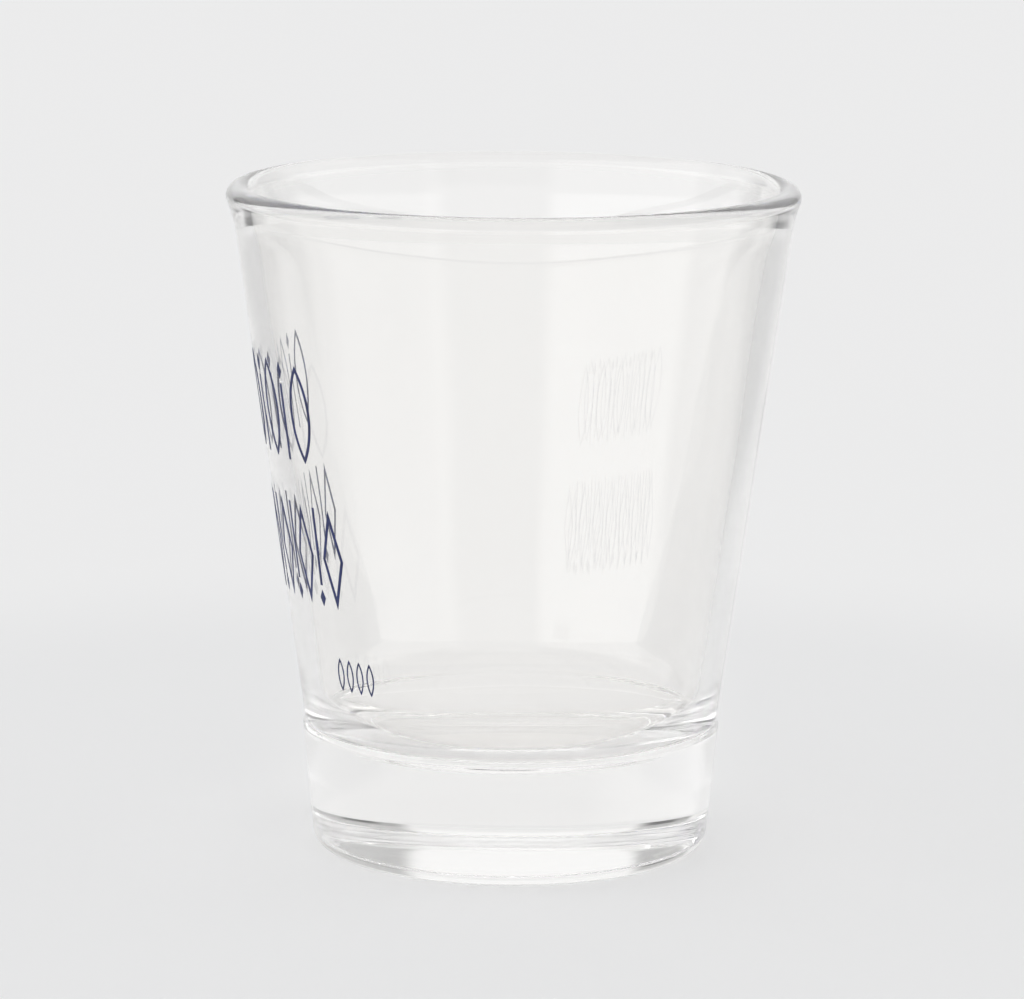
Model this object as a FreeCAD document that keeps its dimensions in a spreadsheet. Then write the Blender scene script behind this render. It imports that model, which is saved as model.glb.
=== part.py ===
import FreeCAD, Part
import Sketcher
import math
import os

# Shot glass: one piece of pressed glass with a heavy solid base and a flared, rounded lip, and an
# ornament printed on its outside in thin strokes of ink.
# Frame: millimetres, +Z up, origin at the middle of the plane that the foot stands on.
# The middle of the print faces -Y. An angle round the glass starts there and grows towards +X.

SIZES = [
    ("overall_height", 60.0, "foot to top of the lip"),
    ("rim_radius", 25.56, "widest point of the lip"),
    ("lip_thickness", 2.4, "rounded lip, from inside to outside"),
    ("flare_height", 4.7, "top of the straight wall, below the top of the lip"),
    ("flare_radius", 15.0, "outward curve between the straight wall and the lip"),
    ("wall_top_radius", 24.63, "outside of the wall where the flare starts"),
    ("wall_foot_radius", 18.55, "outside of the wall just above the shoulder"),
    ("wall_thickness", 2.0, "measured level"),
    ("shoulder_height", 11.1, "top of the solid base"),
    ("shoulder_rise", 0.6, "height of the small step in from base to wall"),
    ("shoulder_rounding", 0.6, "radius on both edges of the step"),
    ("base_top_radius", 18.75, "solid base at the shoulder"),
    ("base_foot_radius", 17.67, "solid base, its side carried down to the foot"),
    ("foot_rounding", 1.7, "radius between the base's side and the foot"),
    ("floor_height", 9.6, "inside floor above the foot"),
    ("floor_rounding", 6.8, "radius between the inside floor and the wall"),
    ("recess_radius", 11.0, "shallow dome in the underside"),
    ("recess_depth", 0.1, "shallow dome in the underside"),
    ("ink_thickness", 0.06, "fired ink film"),
    ("stroke", 0.32, "width of a printed line"),
    ("fine_stroke", 0.14, "width of a line in the small mark"),
    ("upper_bottom", 36.8, "upper row, lower edge"),
    ("upper_height", 8.7, "upper row"),
    ("upper_step", 14.0, "degrees from leaf to leaf"),
    ("leaf_width", 3.0, "leaf in the upper row"),
    ("lower_bottom", 24.0, "lower row, lower edge"),
    ("lower_height", 8.9, "lower row"),
    ("lower_step", 11.5, "degrees from lozenge to lozenge"),
    ("lozenge_width", 2.7, "lozenge in the lower row"),
    ("bud_height", 1.5, "solid diamond at the end of a reed"),
    ("bud_width", 0.8, "solid diamond at the end of a reed"),
    ("bud_gap", 0.4, "between a reed's stem and its diamond"),
    ("mark_bottom", 16.5, "small mark, lower edge"),
    ("mark_height", 3.0, "small mark"),
    ("mark_angle", 38.2, "middle of the small mark, in degrees round the glass"),
    ("mark_step", 3.6, "degrees from leaf to leaf"),
    ("mark_width", 0.85, "leaf in the small mark"),
]
UPPER_LEAVES = 5
LOWER_LOZENGES = 7
MARK_LEAVES = 4

# Where the straight outside wall starts and ends, and how much its radius grows per millimetre.
WALL_START = "(sizes.shoulder_height + sizes.shoulder_rise)"
WALL_END = "(sizes.overall_height - sizes.flare_height)"
WALL_SLOPE = f"((sizes.wall_top_radius - sizes.wall_foot_radius) / ({WALL_END} - {WALL_START}))"


def wall_radius(height):
    """The expression for the outside radius of the straight wall at a height."""
    return f"(sizes.wall_foot_radius + (({height}) - {WALL_START}) * {WALL_SLOPE})"


def make_sheet(doc):
    """The driving dimensions, one to a row: value, name and meaning."""
    sheet = doc.addObject("Spreadsheet::Sheet", "sizes")
    for row, (alias, value, meaning) in enumerate(SIZES, start=1):
        sheet.set(f"A{row}", str(value))
        sheet.setAlias(f"A{row}", alias)
        sheet.set(f"B{row}", alias)
        sheet.set(f"C{row}", meaning)
    doc.recompute()
    return sheet


def value_of(owner, expression):
    """The number that an expression gives now."""
    result = owner.evalExpression(expression)
    return float(getattr(result, "Value", result))


def pins(sketch, edge, end, place):
    """The constraints, with their expressions, that hold an edge's end at a pair of expressions."""
    for kind, expression, axis in (("DistanceX", place[0], -2), ("DistanceY", place[1], -1)):
        distance = value_of(sketch, expression)
        if distance == 0:
            yield Sketcher.Constraint("PointOnObject", edge, end, axis), None
        else:
            yield Sketcher.Constraint(kind, -1, 1, edge, end, distance), expression


def end_nearest(sketch, edge, point):
    """Which end of an edge lies at a point: 1 is its start and 2 its end."""
    geometry = sketch.Geometry[edge]
    start_gap = (geometry.StartPoint - point).Length
    return 1 if start_gap < (geometry.EndPoint - point).Length else 2


def arc_between(start, finish, radius, side):
    """The shorter arc between two points that bulges left (side 1) or right (side -1) of its chord."""
    chord = finish - start
    left = FreeCAD.Vector(-chord.y, chord.x, 0).normalize()
    centre = (start + finish) * 0.5 - left * side * (radius**2 - chord.Length**2 / 4) ** 0.5
    first, last = (finish, start) if side > 0 else (start, finish)
    angles = [math.atan2(point.y - centre.y, point.x - centre.x) for point in (first, last)]
    circle = Part.Circle(centre, FreeCAD.Vector(0, 0, 1), radius)
    return Part.ArcOfCircle(circle, angles[0], angles[1])


def draw_loop(sketch, corners, arcs=None):
    """Draw a closed loop through corners, each a pair of expressions, and pin every corner.

    arcs maps the number of an edge to its radius, as an expression, and to the side it bulges to.
    The other edges are straight.
    """
    arcs = arcs or {}
    places = [FreeCAD.Vector(value_of(sketch, x), value_of(sketch, y), 0) for x, y in corners]
    edges = []
    bound = []
    for number, start in enumerate(places):
        finish = places[(number + 1) % len(places)]
        if number not in arcs:
            edges.append(sketch.addGeometry(Part.LineSegment(start, finish)))
            continue
        formula, side = arcs[number]
        radius = value_of(sketch, formula)
        edges.append(sketch.addGeometry(arc_between(start, finish, radius, side)))
        bound.append((Sketcher.Constraint("Radius", edges[-1], radius), formula))
    for number, edge in enumerate(edges):
        before = edges[number - 1]
        here = end_nearest(sketch, edge, places[number])
        there = end_nearest(sketch, before, places[number])
        bound.append((Sketcher.Constraint("Coincident", edge, here, before, there), None))
        bound.extend(pins(sketch, edge, here, corners[number]))
    indices = sketch.addConstraint([constraint for constraint, expression in bound])
    for index, (constraint, expression) in zip(indices, bound):
        if expression:
            sketch.setExpression(f"Constraints[{index}]", expression)


def origin_plane(body, role):
    """One of a body's own origin planes."""
    return next(item for item in body.Origin.OriginFeatures if item.Role == role)


def round_edge(feature, radius, height):
    """The name of a feature's circular edge that has a radius and a height."""
    for number, edge in enumerate(feature.Shape.Edges, start=1):
        if edge.Degenerated or not isinstance(edge.Curve, Part.Circle):
            continue
        if abs(edge.Curve.Radius - radius) < 1e-4 and abs(edge.Curve.Center.z - height) < 1e-4:
            return f"Edge{number}"
    raise RuntimeError(f"no circular edge of radius {radius:.3f} at height {height:.3f}")


def add_fillet(body, label, places, radius):
    """Round the body's circular edges at the given pairs of radius and height expressions."""
    base = body.Tip
    names = [round_edge(base, value_of(base, r), value_of(base, z)) for r, z in places]
    fillet = body.newObject("PartDesign::Fillet", label)
    fillet.Base = (base, names)
    fillet.setExpression("Radius", radius)
    body.Tip = fillet
    body.Document.recompute()


def make_glass(doc):
    """The pressed glass: its half section turned about Z, then its corners rounded."""
    body = doc.addObject("PartDesign::Body", "glass_body")
    sketch = body.newObject("Sketcher::SketchObject", "half_section")
    sketch.AttachmentSupport = [(origin_plane(body, "XZ_Plane"), "")]
    sketch.MapMode = "FlatFace"
    doc.recompute()
    lip_radius = "(sizes.lip_thickness / 2)"
    lip_centre = f"(sizes.overall_height - {lip_radius})"
    foot_corner = ("sizes.base_foot_radius", "0")
    floor_corner = (f"({wall_radius('sizes.floor_height')} - sizes.wall_thickness)", "sizes.floor_height")
    base_corner = ("sizes.base_top_radius", "sizes.shoulder_height")
    wall_corner = ("sizes.wall_foot_radius", WALL_START)
    corners = [
        ("0", "sizes.recess_depth"),
        ("sizes.recess_radius", "0"),
        foot_corner,
        base_corner,
        wall_corner,
        ("sizes.wall_top_radius", WALL_END),
        ("sizes.rim_radius", lip_centre),
        (f"(sizes.rim_radius - {lip_radius})", "sizes.overall_height"),
        ("(sizes.rim_radius - sizes.lip_thickness)", lip_centre),
        ("(sizes.wall_top_radius - sizes.wall_thickness)", WALL_END),
        floor_corner,
        ("0", "sizes.floor_height"),
    ]
    # The dome's circle is centred on the axis, and the lip is two quarter circles.
    dome_radius = "((sizes.recess_radius^2 + sizes.recess_depth^2) / (2 * sizes.recess_depth))"
    arcs = {
        0: (dome_radius, 1),
        5: ("sizes.flare_radius", 1),
        6: (lip_radius, -1),
        7: (lip_radius, -1),
    }
    draw_loop(sketch, corners, arcs)
    turned = body.newObject("PartDesign::Revolution", "turned_section")
    turned.Profile = sketch
    turned.ReferenceAxis = (sketch, ["V_Axis"])
    turned.Angle = 360
    body.Tip = turned
    doc.recompute()
    add_fillet(body, "floor_rounding", [floor_corner], "sizes.floor_rounding")
    add_fillet(body, "foot_rounding", [foot_corner], "sizes.foot_rounding")
    add_fillet(body, "shoulder_rounding", [base_corner, wall_corner], "sizes.shoulder_rounding")
    return body


def make_film(doc, row, bottom, height):
    """The band of ink film that a row of strokes is cut from, lying on the straight wall."""
    top = f"({bottom} + {height})"
    cones = []
    for side, extra in (("outside", "sizes.ink_thickness"), ("inside", "0")):
        cone = doc.addObject("Part::Cone", f"{row}_{side}")
        cone.setExpression("Radius1", f"{wall_radius(bottom)} + {extra}")
        cone.setExpression("Radius2", f"{wall_radius(top)} + {extra}")
        cone.setExpression("Height", height)
        cone.setExpression("Placement.Base.z", bottom)
        cones.append(cone)
    film = doc.addObject("Part::Cut", f"{row}_film")
    film.Base, film.Tool = cones
    return film


def upright_sketch(doc, name):
    """An upright sketch just behind the front of the wall, whose own Y is the height above the foot."""
    sketch = doc.addObject("Sketcher::SketchObject", name)
    sketch.Placement = FreeCAD.Placement(FreeCAD.Vector(), FreeCAD.Rotation(FreeCAD.Vector(1, 0, 0), 90))
    sketch.setExpression("Placement.Base.y", "-sizes.wall_foot_radius")
    doc.recompute()
    return sketch


def leaf_sketch(doc, name, bottom, height, width, stroke):
    """The outline of a slender pointed leaf, drawn as two loops of two arcs a stroke apart."""
    sketch = upright_sketch(doc, name)
    middle = f"({bottom} + {height} / 2)"
    radius = f"((({height})^2 + ({width})^2) / (4 * ({width})))"
    # The inner arcs keep the outer arcs' centres, which lie this far from the leaf's middle line.
    centre = f"({radius} - ({width}) / 2)"
    inner_half = f"sqrt(({radius} - {stroke})^2 - {centre}^2)"
    loops = ((radius, f"(({height}) / 2)"), (f"({radius} - {stroke})", inner_half))
    for arc_radius, half in loops:
        corners = [("0", f"({middle} - {half})"), ("0", f"({middle} + {half})")]
        draw_loop(sketch, corners, {0: (arc_radius, 1), 1: (arc_radius, 1)})
    return sketch


def diamond(middle, half_width, half_height):
    """The four corners of a diamond."""
    return [
        ("0", f"({middle} - {half_height})"),
        (half_width, middle),
        ("0", f"({middle} + {half_height})"),
        (f"(-({half_width}))", middle),
    ]


def lozenge_sketch(doc, name, bottom, height, width, stroke):
    """The outline of a tall diamond, drawn as two loops a stroke apart."""
    sketch = upright_sketch(doc, name)
    middle = f"({bottom} + {height} / 2)"
    slant = f"sqrt({height}^2 + {width}^2)"
    draw_loop(sketch, diamond(middle, f"({width} / 2)", f"({height} / 2)"))
    inner_half_width = f"({width} / 2 - {stroke} * {slant} / {height})"
    inner_half_height = f"({height} / 2 - {stroke} * {slant} / {width})"
    draw_loop(sketch, diamond(middle, inner_half_width, inner_half_height))
    return sketch


def reed_sketch(doc, name, bottom, height, bud_on_top):
    """A reed: one upright stroke with a small solid diamond above or below it."""
    sketch = upright_sketch(doc, name)
    top = f"({bottom} + {height})"
    bud_room = "(sizes.bud_height + sizes.bud_gap)"
    if bud_on_top:
        stem = (bottom, f"({top} - {bud_room})")
        bud_middle = f"({top} - sizes.bud_height / 2)"
    else:
        stem = (f"({bottom} + {bud_room})", top)
        bud_middle = f"({bottom} + sizes.bud_height / 2)"
    left = "(-(sizes.stroke / 2))"
    right = "(sizes.stroke / 2)"
    draw_loop(sketch, [(left, stem[0]), (right, stem[0]), (right, stem[1]), (left, stem[1])])
    draw_loop(sketch, diamond(bud_middle, "(sizes.bud_width / 2)", "(sizes.bud_height / 2)"))
    return sketch


def stencil(doc, sketch, number, angle):
    """A sketch's strokes drawn out through the wall, and turned round the glass."""
    cutter = doc.addObject("Part::Extrusion", f"{sketch.Name}_{number}")
    cutter.Base = sketch
    cutter.DirMode = "Custom"
    cutter.Dir = FreeCAD.Vector(0, -1, 0)
    cutter.FaceMakerClass = "Part::FaceMakerBullseye"
    cutter.Solid = True
    cutter.setExpression("LengthFwd", "sizes.rim_radius - sizes.wall_foot_radius")
    cutter.Placement = FreeCAD.Placement(FreeCAD.Vector(), FreeCAD.Rotation(FreeCAD.Vector(0, 0, 1), 1))
    cutter.setExpression("Placement.Rotation.Angle", angle)
    return cutter


def spread(doc, sketch, count, step, middle="0"):
    """Copies of one motif at equal steps, the whole set centred on an angle."""
    return [
        stencil(doc, sketch, number, f"({middle}) + ({number - (count - 1) / 2}) * {step}")
        for number in range(count)
    ]


def make_print(doc, name, bottom, height, cutters):
    """A printed piece: the film of one row, kept only where the strokes are."""
    strokes = doc.addObject("Part::Compound", f"{name}_strokes")
    strokes.Links = cutters
    ink = doc.addObject("Part::Common", name)
    ink.Base = make_film(doc, name, bottom, height)
    ink.Tool = strokes
    return ink


def make_upper_row(doc):
    """Leaves, with a reed between each two."""
    place = ("sizes.upper_bottom", "sizes.upper_height")
    leaf = leaf_sketch(doc, "leaf", *place, "sizes.leaf_width", "sizes.stroke")
    reed = reed_sketch(doc, "upper_reed", *place, bud_on_top=True)
    cutters = spread(doc, leaf, UPPER_LEAVES, "sizes.upper_step")
    cutters += spread(doc, reed, UPPER_LEAVES - 1, "sizes.upper_step")
    return make_print(doc, "print_upper_row", *place, cutters)


def make_lower_row(doc):
    """Lozenges, with an upturned reed between each two."""
    place = ("sizes.lower_bottom", "sizes.lower_height")
    lozenge = lozenge_sketch(doc, "lozenge", *place, "sizes.lozenge_width", "sizes.stroke")
    reed = reed_sketch(doc, "lower_reed", *place, bud_on_top=False)
    cutters = spread(doc, lozenge, LOWER_LOZENGES, "sizes.lower_step")
    cutters += spread(doc, reed, LOWER_LOZENGES - 1, "sizes.lower_step")
    return make_print(doc, "print_lower_row", *place, cutters)


def make_small_mark(doc):
    """A short row of small leaves under one end of the rows."""
    place = ("sizes.mark_bottom", "sizes.mark_height")
    leaf = leaf_sketch(doc, "mark_leaf", *place, "sizes.mark_width", "sizes.fine_stroke")
    cutters = spread(doc, leaf, MARK_LEAVES, "sizes.mark_step", "sizes.mark_angle")
    return make_print(doc, "print_small_mark", *place, cutters)


def check_document(doc, pieces):
    """Stop if any object failed or any piece isn't a valid solid."""
    for item in doc.Objects:
        if "Invalid" in item.State or "Error" in item.State:
            raise RuntimeError(f"{item.Name} failed: {item.State}")
    for piece in pieces:
        shape = piece.Shape
        if shape.isNull() or not shape.isValid() or not shape.Solids:
            raise RuntimeError(f"{piece.Label} has no valid solid")
        box = shape.BoundBox
        low = f"{box.XMin:.2f} {box.YMin:.2f} {box.ZMin:.2f}"
        high = f"{box.XMax:.2f} {box.YMax:.2f} {box.ZMax:.2f}"
        count = len(shape.Solids)
        print(f"{piece.Label}: {count} solids, {shape.Volume:.2f} mm3, from {low} to {high}")


def main():
    doc = FreeCAD.newDocument("shot_glass")
    make_sheet(doc)
    pieces = [make_glass(doc), make_upper_row(doc), make_lower_row(doc), make_small_mark(doc)]
    doc.recompute()
    check_document(doc, pieces)
    os.makedirs("parts", exist_ok=True)
    for piece in pieces:
        piece.Shape.exportStep(f"parts/{piece.Label}.step")


main()
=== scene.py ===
import math

import bpy
import numpy as np
from mathutils import Matrix, Vector


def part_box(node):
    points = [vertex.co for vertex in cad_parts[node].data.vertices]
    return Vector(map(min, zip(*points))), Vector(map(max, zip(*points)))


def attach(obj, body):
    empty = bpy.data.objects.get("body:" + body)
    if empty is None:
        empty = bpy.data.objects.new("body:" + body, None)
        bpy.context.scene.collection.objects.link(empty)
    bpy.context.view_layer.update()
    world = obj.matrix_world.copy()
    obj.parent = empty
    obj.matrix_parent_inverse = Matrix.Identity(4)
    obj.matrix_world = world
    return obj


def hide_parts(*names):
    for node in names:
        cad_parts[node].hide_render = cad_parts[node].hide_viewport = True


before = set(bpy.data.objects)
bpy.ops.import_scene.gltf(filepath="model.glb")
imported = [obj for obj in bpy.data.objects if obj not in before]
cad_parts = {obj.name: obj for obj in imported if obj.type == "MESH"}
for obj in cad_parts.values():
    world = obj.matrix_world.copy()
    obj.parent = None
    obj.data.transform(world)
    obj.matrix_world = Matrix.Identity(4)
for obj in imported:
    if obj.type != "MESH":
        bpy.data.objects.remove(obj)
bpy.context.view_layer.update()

MM = 0.001

# ---------------------------------------------------------------- the view
# The camera stands round from -Y towards +X, at a reach from the glass's axis and a height in metres.
CAMERA_AZIMUTH = math.radians(82.8)
CAMERA_PITCH = math.radians(10.34)
CAMERA_ROLL = math.radians(0.36)
CAMERA_REACH = 0.4777
CAMERA_HEIGHT = 0.1186
LENS = 190.406
SENSOR = 36.0
side, ahead = math.sin(CAMERA_AZIMUTH), math.cos(CAMERA_AZIMUTH)

# ---------------------------------------------------------------- sizes, in millimetres
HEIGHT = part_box("glass_body")[1][2] / MM
RIM_RADIUS = 25.56
LIP_THICKNESS = 2.4
FLARE_HEIGHT = 4.7
FLARE_RADIUS = 15.0
WALL_TOP_RADIUS = 24.63
WALL_FOOT_RADIUS = 18.55
WALL_THICKNESS = 2.0
SHOULDER_HEIGHT = 11.1
SHOULDER_RISE = 0.6
SHOULDER_ROUNDING = 0.6
BASE_TOP_RADIUS = 18.75
BASE_FOOT_RADIUS = 17.67
FOOT_ROUNDING = 1.7
FLOOR_HEIGHT = 9.6
FLOOR_ROUNDING = 6.8
RECESS_RADIUS = 11.0
RECESS_DEPTH = 0.1

WALL_START = SHOULDER_HEIGHT + SHOULDER_RISE
WALL_END = HEIGHT - FLARE_HEIGHT
WALL_SLOPE = (WALL_TOP_RADIUS - WALL_FOOT_RADIUS) / (WALL_END - WALL_START)


def wall_radius(z):
    """Outside radius of the straight wall."""
    return WALL_FOOT_RADIUS + (z - WALL_START) * WALL_SLOPE


# ---------------------------------------------------------------- the pressed glass
def fillet(before, corner, after, radius, steps=40):
    """Points of the arc that rounds a corner."""
    a = (before - corner) / np.linalg.norm(before - corner)
    b = (after - corner) / np.linalg.norm(after - corner)
    half = math.acos(np.clip(a @ b, -1, 1)) / 2
    reach = radius / math.tan(half)
    centre = corner + (a + b) / np.linalg.norm(a + b) * radius / math.sin(half)
    start = corner + a * reach - centre
    finish = corner + b * reach - centre
    turn = math.pi - 2 * half
    points = []
    for k in range(steps + 1):
        t = k / steps
        weights = math.sin((1 - t) * turn) / math.sin(turn), math.sin(t * turn) / math.sin(turn)
        points.append(centre + start * weights[0] + finish * weights[1])
    return points


def bulge(start, finish, radius, steps=24):
    """Points of an arc of a radius between two points that bulges left of its chord."""
    chord = finish - start
    left = np.array((-chord[1], chord[0])) / np.linalg.norm(chord)
    centre = (start + finish) / 2 - left * math.sqrt(radius**2 - (chord @ chord) / 4)
    first, last = start - centre, finish - centre
    turn = math.acos(np.clip(first @ last / radius**2, -1, 1))
    points = []
    for k in range(steps + 1):
        t = k / steps
        weights = math.sin((1 - t) * turn) / math.sin(turn), math.sin(t * turn) / math.sin(turn)
        points.append(centre + first * weights[0] + last * weights[1])
    return points


def section():
    """The glass's half section as a fine line of (radius, height).

    It runs from the underside's middle, round the outside and the lip, to the middle of the inside floor.
    """
    def at(r, z):
        return np.array((r, z), float)

    lip = LIP_THICKNESS / 2
    lip_centre = at(RIM_RADIUS - lip, HEIGHT - lip)
    dome_radii = np.linspace(0, RECESS_RADIUS, 24)
    dome = [at(r, RECESS_DEPTH * (1 - (r / RECESS_RADIUS) ** 2)) for r in dome_radii]
    foot = at(BASE_FOOT_RADIUS, 0)
    base = at(BASE_TOP_RADIUS, SHOULDER_HEIGHT)
    wall = at(WALL_FOOT_RADIUS, WALL_START)
    flare = at(WALL_TOP_RADIUS, WALL_END)
    inner_top = at(WALL_TOP_RADIUS - WALL_THICKNESS, WALL_END)
    inner_foot = at(wall_radius(FLOOR_HEIGHT) - WALL_THICKNESS, FLOOR_HEIGHT)
    middle = at(0, FLOOR_HEIGHT)
    line = dome
    line += fillet(dome[-1], foot, base, FOOT_ROUNDING)
    line += fillet(foot, base, wall, SHOULDER_ROUNDING, 12)
    line += fillet(base, wall, flare, SHOULDER_ROUNDING, 12)
    line += bulge(flare, at(RIM_RADIUS, HEIGHT - lip), FLARE_RADIUS)
    lip_angles = np.linspace(0, math.pi, 60)[1:]
    line += [lip_centre + lip * at(math.cos(a), math.sin(a)) for a in lip_angles]
    line += [inner_top]
    line += fillet(inner_top, inner_foot, middle, FLOOR_ROUNDING)
    line += [middle]
    return np.array(line)


FINE = 0.04      # spacing of the fine line
SOFTEN = 0.12    # how far fire polishing softens a corner


def soften(line):
    """The line at even fine steps with its corners softened.

    Returns radii, heights, the length so far and unit tangents. Both ends lie on the axis, so the line
    goes on there as its own mirror image.
    """
    lengths = np.concatenate(([0], np.cumsum(np.linalg.norm(np.diff(line, axis=0), axis=1))))
    keep = np.concatenate(([True], np.diff(lengths) > 1e-9))
    line, lengths = line[keep], lengths[keep]
    count = int(lengths[-1] / FINE)
    even = np.linspace(0, lengths[-1], count + 1)
    r = np.interp(even, lengths, line[:, 0])
    z = np.interp(even, lengths, line[:, 1])
    reach = int(4 * SOFTEN / FINE)
    kernel = np.exp(-0.5 * (np.arange(-reach, reach + 1) * FINE / SOFTEN) ** 2)
    kernel /= kernel.sum()
    r = np.concatenate((-r[reach:0:-1], r, -r[-2:-reach - 2:-1]))
    z = np.concatenate((z[reach:0:-1], z, z[-2:-reach - 2:-1]))
    r, z = np.convolve(r, kernel, "valid"), np.convolve(z, kernel, "valid")
    tangent = np.stack((np.gradient(r), np.gradient(z)), axis=1)
    tangent /= np.linalg.norm(tangent, axis=1)[:, None]
    return r, z, even, tangent


RING_TURN = math.radians(2.6)    # the most that the line turns from ring to ring
RING_GAP = 2.2                   # the most that two rings lie apart
SIDES = 256


def ring_picks(tangent, even):
    """Where the rings go: close together where the line turns, and further apart where it's straight."""
    angle = np.unwrap(np.arctan2(tangent[:, 1], tangent[:, 0]))
    effort = np.concatenate(([0], np.cumsum(np.abs(np.diff(angle)) / RING_TURN + np.diff(even) / RING_GAP)))
    count = int(math.ceil(effort[-1]))
    picks = np.searchsorted(effort, np.linspace(0, effort[-1], count + 1))
    picks[-1] = len(even) - 1
    return np.unique(picks)


# Slow waves left by pressing: how many round the glass, their height, their drift per millimetre of section
# and their phase.
WAVES = (
    (3, 0.010, 0.035, 0.4),
    (5, 0.007, -0.050, 2.1),
    (8, 0.004, 0.020, 4.4),
    (13, 0.0022, -0.015, 1.3),
    (21, 0.0010, 0.028, 5.2),
)
WAVELESS = 3       # radius within which the surfaces are even
WAVY = 11          # radius from which the waves have their full height


def pressed_glass():
    """The body as one closed lathe mesh with exact normals."""
    r, z, even, tangent = soften(section())
    picks = ring_picks(tangent, even)[1:-1]
    theta = np.linspace(0, 2 * math.pi, SIDES, endpoint=False)
    # Columns with a row for each ring: radius, height, length so far, tangent and outward normal.
    rr, zz, ss = r[picks][:, None], z[picks][:, None], even[picks][:, None]
    tr, tz = tangent[picks, 0][:, None], tangent[picks, 1][:, None]
    nr, nz = tz, -tr
    fade = np.clip((rr - WAVELESS) / (WAVY - WAVELESS), 0, 1)
    fade = fade * fade * (3 - 2 * fade)
    # How far the waves push the surface out, and how fast that grows along the section and round the glass.
    push = np.zeros((len(picks), SIDES))
    along = np.zeros_like(push)
    across = np.zeros_like(push)
    for count, height, drift, phase in WAVES:
        angle = count * theta[None, :] + drift * 2 * math.pi * ss + phase
        push += height * np.cos(angle)
        along -= height * drift * 2 * math.pi * np.sin(angle)
        across -= height * count * np.sin(angle)
    push, along, across = push * fade, along * fade, across * fade / rr
    cos, sin = np.cos(theta)[None, :], np.sin(theta)[None, :]
    radial = rr + push * nr
    verts = np.stack((radial * cos, radial * sin, zz + push * nz), axis=2)
    outward, upward = nr - along * tr, nz - along * tz
    normals = np.stack((outward * cos + across * sin, outward * sin - across * cos, upward), axis=2)
    normals /= np.linalg.norm(normals, axis=2)[:, :, None]
    rings = len(picks)
    points = verts.reshape(-1, 3).tolist()
    points += [(0, 0, z[0]), (0, 0, z[-1])]
    under, floor = rings * SIDES, rings * SIDES + 1
    faces = []
    for k in range(SIDES):
        j = (k + 1) % SIDES
        faces.append((under, j, k))
        faces.append((floor, (rings - 1) * SIDES + k, (rings - 1) * SIDES + j))
        for ring in range(rings - 1):
            low, high = ring * SIDES, (ring + 1) * SIDES
            faces.append((low + k, low + j, high + j, high + k))
    mesh = bpy.data.meshes.new("pressed_glass")
    mesh.from_pydata([[c * MM for c in p] for p in points], [], faces)
    mesh.shade_smooth()
    all_normals = normals.reshape(-1, 3).tolist() + [(0, 0, -1), (0, 0, 1)]
    mesh.normals_split_custom_set_from_vertices(all_normals)
    return mesh


# ---------------------------------------------------------------- the printed ornament
INK_BURIED = 0.02   # the ink's back lies this far inside the wall, so that no two surfaces coincide
INK_EDGE = 0.028    # height of a stroke's edges above the wall
INK_CROWN = 0.045   # height of its middle
STROKE = 0.32
FINE_STROKE = 0.14
UPPER = dict(bottom=36.8, height=8.7, middle=0, step=14.0, count=5, width=3.0)
LOWER = dict(bottom=24.0, height=8.9, middle=0, step=11.5, count=7, width=2.7)
MARK = dict(bottom=16.5, height=3.0, middle=38.2, step=3.6, count=4, width=0.85)
BUD_HEIGHT = 1.5
BUD_WIDTH = 0.8
BUD_GAP = 0.4
STEM_CORE = 0.35    # crown of a stem, as a share of its width
BUD_CORE = 0.65     # crown of a bud, as a share of its size


def leaf_loop(half_width, half_height, steps=20):
    """A pointed leaf's outline round the origin: two arcs that meet at its tips."""
    radius = (half_height**2 + half_width**2) / (2 * half_width)
    reach = math.asin(half_height / radius)
    turns = np.linspace(-reach, reach, steps, endpoint=False)
    right = [(radius * math.cos(a) - radius + half_width, radius * math.sin(a)) for a in turns]
    return right + [(-x, -y) for x, y in right]


def polygon_loop(corners, steps=8):
    """A polygon's outline with its sides divided."""
    parts = np.linspace(0, 1, steps, endpoint=False)
    points = []
    for (ax, ay), (bx, by) in zip(corners, corners[1:] + corners[:1]):
        points += [(ax + (bx - ax) * t, ay + (by - ay) * t) for t in parts]
    return points


def diamond_loop(half_width, half_height):
    """A diamond's outline round the origin."""
    return polygon_loop([(half_width, 0), (0, half_height), (-half_width, 0), (0, -half_height)])


def mix(a, b, t):
    """The loop that lies part of the way from one loop to another."""
    return [((1 - t) * p[0] + t * q[0], (1 - t) * p[1] + t * q[1]) for p, q in zip(a, b)]


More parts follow.
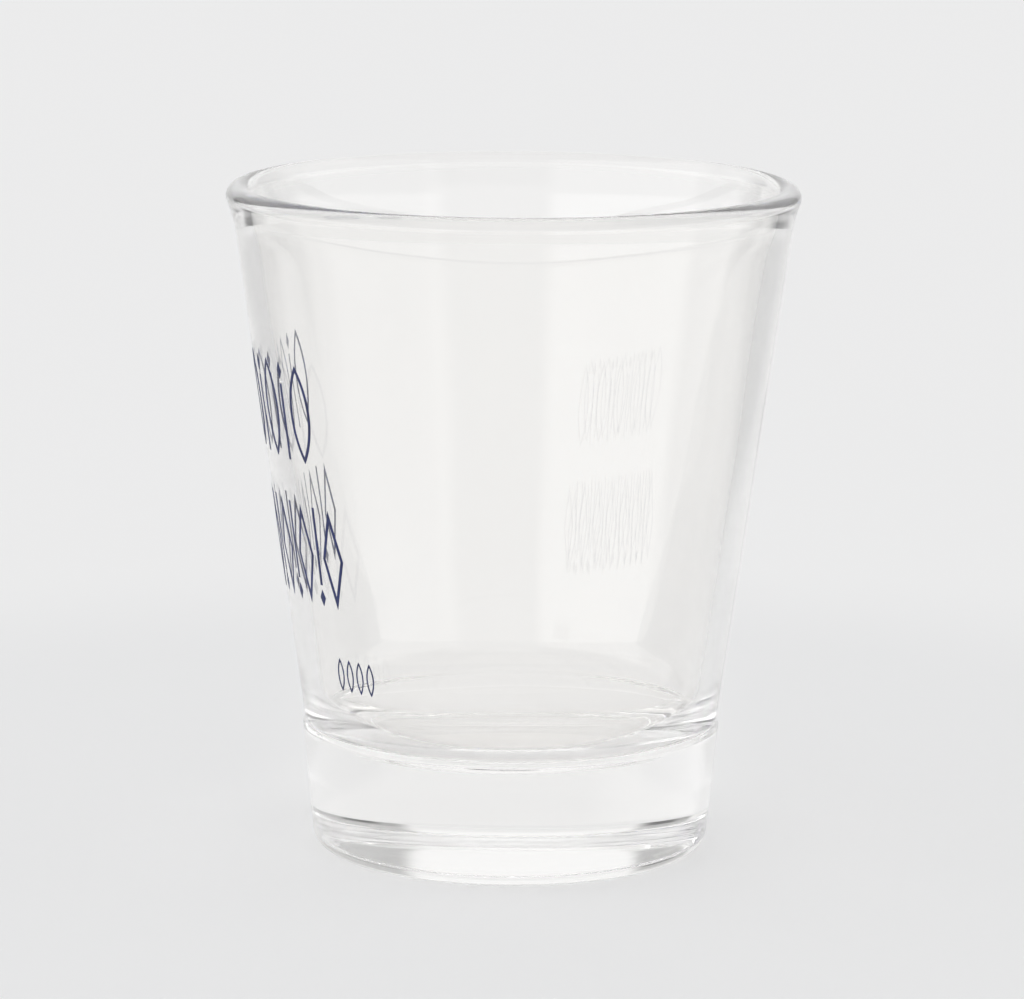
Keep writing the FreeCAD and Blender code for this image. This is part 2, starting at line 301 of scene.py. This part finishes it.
class Ink:
    """Collects one printed row's strokes as closed shells lying on the wall."""

    def __init__(self):
        self.points, self.faces = [], []

    def ring(self, loop, lift, angle, middle):
        """Lay a loop on the wall, raised by lift, and return the number of its first point."""
        first = len(self.points)
        turn = math.radians(angle)
        for x, y in loop:
            z = middle + y
            radius = wall_radius(z) + lift
            depth = math.sqrt(radius**2 - x * x)
            self.points.append((
                MM * (x * math.cos(turn) + depth * math.sin(turn)),
                MM * (x * math.sin(turn) - depth * math.cos(turn)),
                MM * z,
            ))
        return first

    def band(self, outer, inner, angle, middle):
        """A line of ink between two loops."""
        layers = [
            (outer, -INK_BURIED),
            (outer, INK_EDGE),
            (mix(outer, inner, 0.25), INK_CROWN),
            (mix(outer, inner, 0.75), INK_CROWN),
            (inner, INK_EDGE),
            (inner, -INK_BURIED),
        ]
        starts = [self.ring(loop, lift, angle, middle) for loop, lift in layers]
        self.bridge(starts, len(outer), True)

    def solid(self, outer, core, angle, middle):
        """A patch of ink inside a loop."""
        layers = [(core, -INK_BURIED), (outer, -INK_BURIED), (outer, INK_EDGE), (core, INK_CROWN)]
        starts = [self.ring(loop, lift, angle, middle) for loop, lift in layers]
        count = len(outer)
        self.bridge(starts, count, False)
        self.faces.append([starts[0] + k for k in range(count)][::-1])
        self.faces.append([starts[-1] + k for k in range(count)])

    def bridge(self, starts, count, closed):
        """Join each ring to the next, and the last to the first if closed."""
        pairs = list(zip(starts, starts[1:]))
        if closed:
            pairs.append((starts[-1], starts[0]))
        for a, b in pairs:
            for k in range(count):
                j = (k + 1) % count
                self.faces.append((a + k, a + j, b + j, b + k))

    def mesh(self, name):
        """The strokes as one mesh whose edges stay crisp."""
        mesh = bpy.data.meshes.new(name)
        mesh.from_pydata(self.points, [], self.faces)
        mesh.validate()
        mesh.shade_smooth()
        mesh.set_sharp_from_angle(angle=math.radians(40))
        return mesh


def angles(row, count):
    """A row's places round the glass, in degrees."""
    return [row["middle"] + (k - (count - 1) / 2) * row["step"] for k in range(count)]


def leaf(ink, row, angle, stroke):
    """A slender pointed leaf in outline."""
    half_width, half_height = row["width"] / 2, row["height"] / 2
    radius = (half_height**2 + half_width**2) / (2 * half_width)
    inner_width = half_width - stroke
    inner_height = math.sqrt((radius - stroke) ** 2 - (radius - half_width) ** 2)
    outer, inner = leaf_loop(half_width, half_height), leaf_loop(inner_width, inner_height)
    ink.band(outer, inner, angle, row["bottom"] + half_height)


def lozenge(ink, row, angle, stroke):
    """A tall diamond in outline."""
    half_width, half_height = row["width"] / 2, row["height"] / 2
    slant = math.hypot(row["width"], row["height"])
    inner_width = half_width - stroke * slant / row["height"]
    inner_height = half_height - stroke * slant / row["width"]
    outer, inner = diamond_loop(half_width, half_height), diamond_loop(inner_width, inner_height)
    ink.band(outer, inner, angle, row["bottom"] + half_height)


def reed(ink, row, angle, bud_on_top):
    """One upright stroke with a small solid diamond above or below it."""
    bud_room = BUD_HEIGHT + BUD_GAP
    top = row["bottom"] + row["height"]
    low = row["bottom"] + (0 if bud_on_top else bud_room)
    high = top - (bud_room if bud_on_top else 0)
    half, tall = STROKE / 2, (high - low) / 2
    outer = polygon_loop([(half, -tall), (half, tall), (-half, tall), (-half, -tall)], 6)
    core = [(x * STEM_CORE, y * (1 - half / tall)) for x, y in outer]
    ink.solid(outer, core, angle, (low + high) / 2)
    bud_middle = top - BUD_HEIGHT / 2 if bud_on_top else row["bottom"] + BUD_HEIGHT / 2
    bud = diamond_loop(BUD_WIDTH / 2, BUD_HEIGHT / 2)
    ink.solid(bud, [(x * BUD_CORE, y * BUD_CORE) for x, y in bud], angle, bud_middle)


def upper_row():
    """Leaves, with a reed between each two."""
    ink = Ink()
    for angle in angles(UPPER, UPPER["count"]):
        leaf(ink, UPPER, angle, STROKE)
    for angle in angles(UPPER, UPPER["count"] - 1):
        reed(ink, UPPER, angle, True)
    return ink.mesh("print_upper_row_ink")


def lower_row():
    """Lozenges, with an upturned reed between each two."""
    ink = Ink()
    for angle in angles(LOWER, LOWER["count"]):
        lozenge(ink, LOWER, angle, STROKE)
    for angle in angles(LOWER, LOWER["count"] - 1):
        reed(ink, LOWER, angle, False)
    return ink.mesh("print_lower_row_ink")


def small_mark():
    """A short row of small leaves under one end of the rows."""
    ink = Ink()
    for angle in angles(MARK, MARK["count"]):
        leaf(ink, MARK, angle, FINE_STROKE)
    return ink.mesh("print_small_mark_ink")


# ---------------------------------------------------------------- materials
class Nodes:
    """A short way to write a node tree."""

    def __init__(self, owner):
        owner.use_nodes = True
        self.tree = owner.node_tree
        self.tree.nodes.clear()

    def add(self, kind, inputs=None, **settings):
        """A new node: each input is a value to set or a socket to link, and each setting an attribute."""
        node = self.tree.nodes.new(kind)
        for name, value in settings.items():
            setattr(node, name, value)
        for name, value in (inputs or {}).items():
            if isinstance(value, bpy.types.NodeSocket):
                self.tree.links.new(value, node.inputs[name])
            else:
                node.inputs[name].default_value = value
        return node

    def math(self, operation, a, b=0.0):
        return self.add("ShaderNodeMath", {0: a, 1: b}, operation=operation).outputs[0]

    def smooth(self, value, low, high, to_low=0.0, to_high=1.0):
        """A value that eases from to_low to to_high while the input goes from low to high."""
        inputs = {0: value, 1: low, 2: high, 3: to_low, 4: to_high}
        return self.add("ShaderNodeMapRange", inputs, interpolation_type="SMOOTHSTEP").outputs[0]

    def noise(self, scale, detail, roughness, stretch=(1, 1, 1)):
        """Noise fixed to the object."""
        where = self.add("ShaderNodeTexCoord").outputs["Object"]
        where = self.add("ShaderNodeMapping", {"Vector": where, "Scale": stretch}).outputs[0]
        inputs = {"Vector": where, "Scale": scale, "Detail": detail, "Roughness": roughness}
        return self.add("ShaderNodeTexNoise", inputs).outputs["Fac"]

    def along(self, where, axis):
        """How far a place lies along an axis."""
        node = self.add("ShaderNodeVectorMath", {0: where, 1: axis}, operation="DOT_PRODUCT")
        return node.outputs["Value"]

    def bump(self, height, distance):
        return self.add("ShaderNodeBump", {"Height": height, "Distance": distance}).outputs[0]

    def blend(self, factor, a, b):
        """A colour between a and b."""
        node = self.add("ShaderNodeMix", data_type="RGBA")
        self.tree.links.new(factor, node.inputs["Factor"])
        node.inputs[6].default_value = (*a, 1)
        node.inputs[7].default_value = (*b, 1)
        return node.outputs[2]

    def surface(self, shader):
        self.add("ShaderNodeOutputMaterial", {"Surface": shader.outputs[0]})


def clear_glass():
    """Clear pressed soda-lime glass: smooth, with faint slow ripples.

    An exact body of revolution keeps some light inside its wall for ever, which real, slightly uneven
    glass doesn't, so a small share of the light goes straight through each surface.
    """
    material = bpy.data.materials.new("clear_glass")
    nodes = Nodes(material)
    ripple = nodes.noise(90, 1.5, 0.45, (1, 1, 0.55))
    shader = nodes.add("ShaderNodeBsdfPrincipled", {
        "Base Color": (1, 0.995, 0.985, 1),
        "Transmission Weight": 1.0,
        "IOR": 1.5,
        "Roughness": 0.0,
        "Alpha": 0.985,
        "Normal": nodes.bump(ripple, 0.00003),
    })
    nodes.surface(shader)
    return material


DARK_INK = (0.006, 0.013, 0.075)
LIGHT_INK = (0.012, 0.023, 0.120)


def printed_ink():
    """Navy ink cured on glass: satin, with a slightly uneven film."""
    material = bpy.data.materials.new("printed_ink")
    nodes = Nodes(material)
    cloud = nodes.noise(900, 3, 0.6)
    grain = nodes.noise(6500, 2, 0.5)
    shader = nodes.add("ShaderNodeBsdfPrincipled", {
        "Base Color": nodes.blend(nodes.smooth(cloud, 0.3, 0.7), DARK_INK, LIGHT_INK),
        "Roughness": nodes.smooth(grain, 0.3, 0.7, 0.34, 0.5),
        "IOR": 1.48,
        "Normal": nodes.bump(grain, 0.000012),
    })
    nodes.surface(shader)
    return material


# Painted shade: the floor's tone near the glass is darker than far off.
SHADED_NEAR_FLOOR = (0.864, 0.866, 0.871)
FAR_FLOOR = (0.914, 0.914, 0.916)
FAR_FROM = (0.085, 0.135)      # painted shade near the glass eases into the far tone between these distances from it
PAINTED_LIGHT_WITHIN = (0.026, 0.014)    # but painted light makes it as pale as far off within this much to either side
PAINTED_LIGHT_FROM = (0.005, 0.030)      # from this far behind, where the painted light stands for light passing through the glass
SIDES_FROM = (0.060, 0.110)    # between these distances to either side painted shade makes it greyer
SIDES_SPREAD = 0.08            # and they grow by this share of the distance behind the glass
SIDES_UNTIL = (0.42, 0.30)     # as far as this behind it
SIDES_WITHIN = (0.55, 0.28)    # and as far as this to either side
SIDES_PAINTED_SHADE = 0.18
GRAIN = 0.07                   # share of the tone that varies from spot to spot


def pale_floor():
    """A pale surface with painted light and shade: a little darker near the glass than far behind it,
    painted light in a strip behind it, and painted grey shade to both sides.
    """
    material = bpy.data.materials.new("pale_floor")
    nodes = Nodes(material)
    where = nodes.add("ShaderNodeTexCoord").outputs["Object"]
    grain = nodes.noise(260, 4, 0.55)

    distance = nodes.add("ShaderNodeVectorMath", {0: where}, operation="LENGTH").outputs["Value"]
    behind = nodes.along(where, (-side, ahead, 0))
    across = nodes.math("ABSOLUTE", nodes.along(where, (ahead, side, 0)))

    # Painted light: a strip behind the glass is as pale as far off, where light through the glass would
    # fall.
    painted_light = nodes.math("MULTIPLY", nodes.smooth(across, *PAINTED_LIGHT_WITHIN), nodes.smooth(behind, *PAINTED_LIGHT_FROM))
    # Painted shade near the glass, lifted by the painted light behind it.
    far = nodes.math("MAXIMUM", nodes.smooth(distance, *FAR_FROM), painted_light)
    tone = nodes.math("ADD", nodes.math("MULTIPLY", far, 1 - GRAIN), nodes.math("MULTIPLY", grain, GRAIN))
    pale = nodes.blend(tone, SHADED_NEAR_FLOOR, FAR_FLOOR)

    # Painted shade: the floor gets greyer to both sides of the glass and behind it, as under dark flags
    # beside it.
    beside = nodes.math("SUBTRACT", across, nodes.math("MULTIPLY", behind, SIDES_SPREAD))
    beside = nodes.smooth(beside, *SIDES_FROM)
    painted_side_shade = nodes.math("MULTIPLY", beside, nodes.smooth(behind, *SIDES_UNTIL))
    painted_side_shade = nodes.math("MULTIPLY", painted_side_shade, nodes.smooth(across, *SIDES_WITHIN))
    shade = nodes.math("SUBTRACT", 1.0, nodes.math("MULTIPLY", painted_side_shade, SIDES_PAINTED_SHADE))
    scaled = nodes.add("ShaderNodeVectorMath", {0: pale, "Scale": shade}, operation="SCALE")
    shader = nodes.add("ShaderNodeBsdfPrincipled", {
        "Base Color": scaled.outputs["Vector"],
        "Roughness": nodes.smooth(grain, 0.3, 0.7, 0.45, 0.6),
        "Specular IOR Level": 0.0,
    })
    nodes.surface(shader)
    return material


# ---------------------------------------------------------------- pieces
def piece(name, mesh, material, node):
    """Add a visible piece that rides on the glass's one body in place of a CAD node."""
    mesh.materials.append(material)
    obj = bpy.data.objects.new(name, mesh)
    bpy.context.scene.collection.objects.link(obj)
    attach(obj, "root")
    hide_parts(node)


ink_material = printed_ink()
piece("pressed_glass_body", pressed_glass(), clear_glass(), "glass_body")
piece("upper_row_ink", upper_row(), ink_material, "print_upper_row")
piece("lower_row_ink", lower_row(), ink_material, "print_lower_row")
piece("small_mark_ink", small_mark(), ink_material, "print_small_mark")

# ---------------------------------------------------------------- floor
FLOOR_HALF = 3.0        # metres
FLOOR_DROP = 0.00005    # keeps the floor clear of the foot
floor_mesh = bpy.data.meshes.new("floor")
corners = [(x * FLOOR_HALF, y * FLOOR_HALF, 0) for x, y in ((-1, -1), (1, -1), (1, 1), (-1, 1))]
floor_mesh.from_pydata(corners, [], [(0, 1, 2, 3)])
floor_mesh.materials.append(pale_floor())
floor = bpy.data.objects.new("floor", floor_mesh)
floor.location.z = -FLOOR_DROP
bpy.context.scene.collection.objects.link(floor)

# ---------------------------------------------------------------- camera
camera_data = bpy.data.cameras.new("camera")
camera_data.sensor_width = SENSOR
camera_data.lens = LENS
camera_data.clip_start = 0.01
camera = bpy.data.objects.new("camera", camera_data)
bpy.context.scene.collection.objects.link(camera)
bpy.context.scene.camera = camera
camera.location = (CAMERA_REACH * side, -CAMERA_REACH * ahead, CAMERA_HEIGHT)
level = math.cos(CAMERA_PITCH)
look = Vector((-side * level, ahead * level, -math.sin(CAMERA_PITCH)))
turn = look.to_track_quat("-Z", "Y").to_matrix() @ Matrix.Rotation(CAMERA_ROLL, 3, "Z")
camera.rotation_euler = turn.to_euler()

# ---------------------------------------------------------------- light
# Areas of the surroundings, by direction from the camera's own heading (positive is to its left): azimuth
# from and to, elevation from and to, how soft their edges are in azimuth and in elevation, and how much
# brighter or darker they are than the rest.
SURROUNDINGS = 0.84
BACKDROP = 0.838    # what is seen directly, past the floor
AREAS = (
    (-190, 190, 52, 100, 8, 8, 0.15),
    (-150, -80, 18, 55, 8, 8, -0.25),
    (-80, -34, 28, 45, 4, 5, -0.17),
    (-78, -22, -12, 7, 3, 2, -0.14),
    (-78, -22, -12, 26, 3, 4, -0.31),
    (-45, -30, -3, 5, 3, 2, -0.25),
    (-20, 28, 9, 34, 3, 4, 0.12),
    (29, 54, -12, 18, 3, 3, -0.36),
    (30, 54, -12, 7, 3, 2, -0.17),
    (32, 44, -3, 8, 3, 2, -0.2),
    (34, 50, 18, 28, 4, 4, -0.2),
)
# The lamps are such areas too. They light the floor and shine on the glass, but they don't show straight
# through it.
LAMPS = (
    (-190, -140, -3, 25, 6, 4, 0.55),
    (-145, -62, -3, 16, 6, 3, 0.95),
    (54, 88, -3, 16, 7, 4, 0.75),
    (88, 163, -3, 16, 5, 3, 1.45),
    (163, 190, -3, 25, 6, 4, 0.55),
)


def studio():
    """Soft light from all round: a bright backdrop, greyer sides and lamps beside and behind the camera."""
    world = bpy.data.worlds.new("studio")
    bpy.context.scene.world = world
    nodes = Nodes(world)
    where = nodes.add("ShaderNodeTexCoord").outputs["Generated"]
    x, y, z = nodes.add("ShaderNodeSeparateXYZ", {0: where}).outputs
    heading = math.atan2(look.y, look.x)
    cos, sin = math.cos(heading), math.sin(heading)
    forward = nodes.math("ADD", nodes.math("MULTIPLY", x, cos), nodes.math("MULTIPLY", y, sin))
    leftward = nodes.math("SUBTRACT", nodes.math("MULTIPLY", y, cos), nodes.math("MULTIPLY", x, sin))
    azimuth = nodes.math("MULTIPLY", nodes.math("ARCTAN2", leftward, forward), math.degrees(1))
    elevation = nodes.math("MULTIPLY", nodes.math("ARCSINE", z), math.degrees(1))

    def between(value, low, high, soft):
        """1 from low to high and 0 outside, with soft edges."""
        above = nodes.smooth(value, low - soft, low + soft)
        return nodes.math("MULTIPLY", above, nodes.smooth(value, high - soft, high + soft, 1.0, 0.0))

    def added_by(areas):
        """How much brighter the areas make a direction."""
        total = 0.0
        for az_low, az_high, el_low, el_high, soft_az, soft_el, strength in areas:
            inside = between(azimuth, az_low, az_high, soft_az)
            inside = nodes.math("MULTIPLY", inside, between(elevation, el_low, el_high, soft_el))
            total = nodes.math("ADD", nodes.math("MULTIPLY", inside, strength), total)
        return total

    path = nodes.add("ShaderNodeLightPath").outputs
    bounced = nodes.math("MINIMUM", nodes.math("ADD", path["Glossy Depth"], path["Diffuse Depth"]), 1.0)
    straight = nodes.math("MULTIPLY", path["Is Transmission Ray"], nodes.math("SUBTRACT", 1.0, bounced))
    lamps = nodes.math("MULTIPLY", added_by(LAMPS), nodes.math("SUBTRACT", 1.0, straight))
    areas = nodes.math("ADD", added_by(AREAS), SURROUNDINGS)
    light = nodes.math("ADD", areas, lamps)
    shown = nodes.add("ShaderNodeMix", {0: path["Is Camera Ray"], 2: light, 3: BACKDROP}, data_type="FLOAT")
    background = nodes.add("ShaderNodeBackground", {"Color": shown.outputs[0]})
    nodes.add("ShaderNodeOutputWorld", {"Surface": background.outputs[0]})


studio()

BOUNCES = 96
scene = bpy.context.scene
scene.view_settings.view_transform = "Standard"
# Light crosses and follows the glass many times before it gets out.
scene.cycles.max_bounces = BOUNCES
scene.cycles.transmission_bounces = BOUNCES
scene.cycles.glossy_bounces = BOUNCES
scene.cycles.transparent_max_bounces = 24
scene.cycles.blur_glossy = 0.0
scene.cycles.use_denoising = True
scene.world.cycles.sampling_method = "MANUAL"
scene.world.cycles.sample_map_resolution = 512
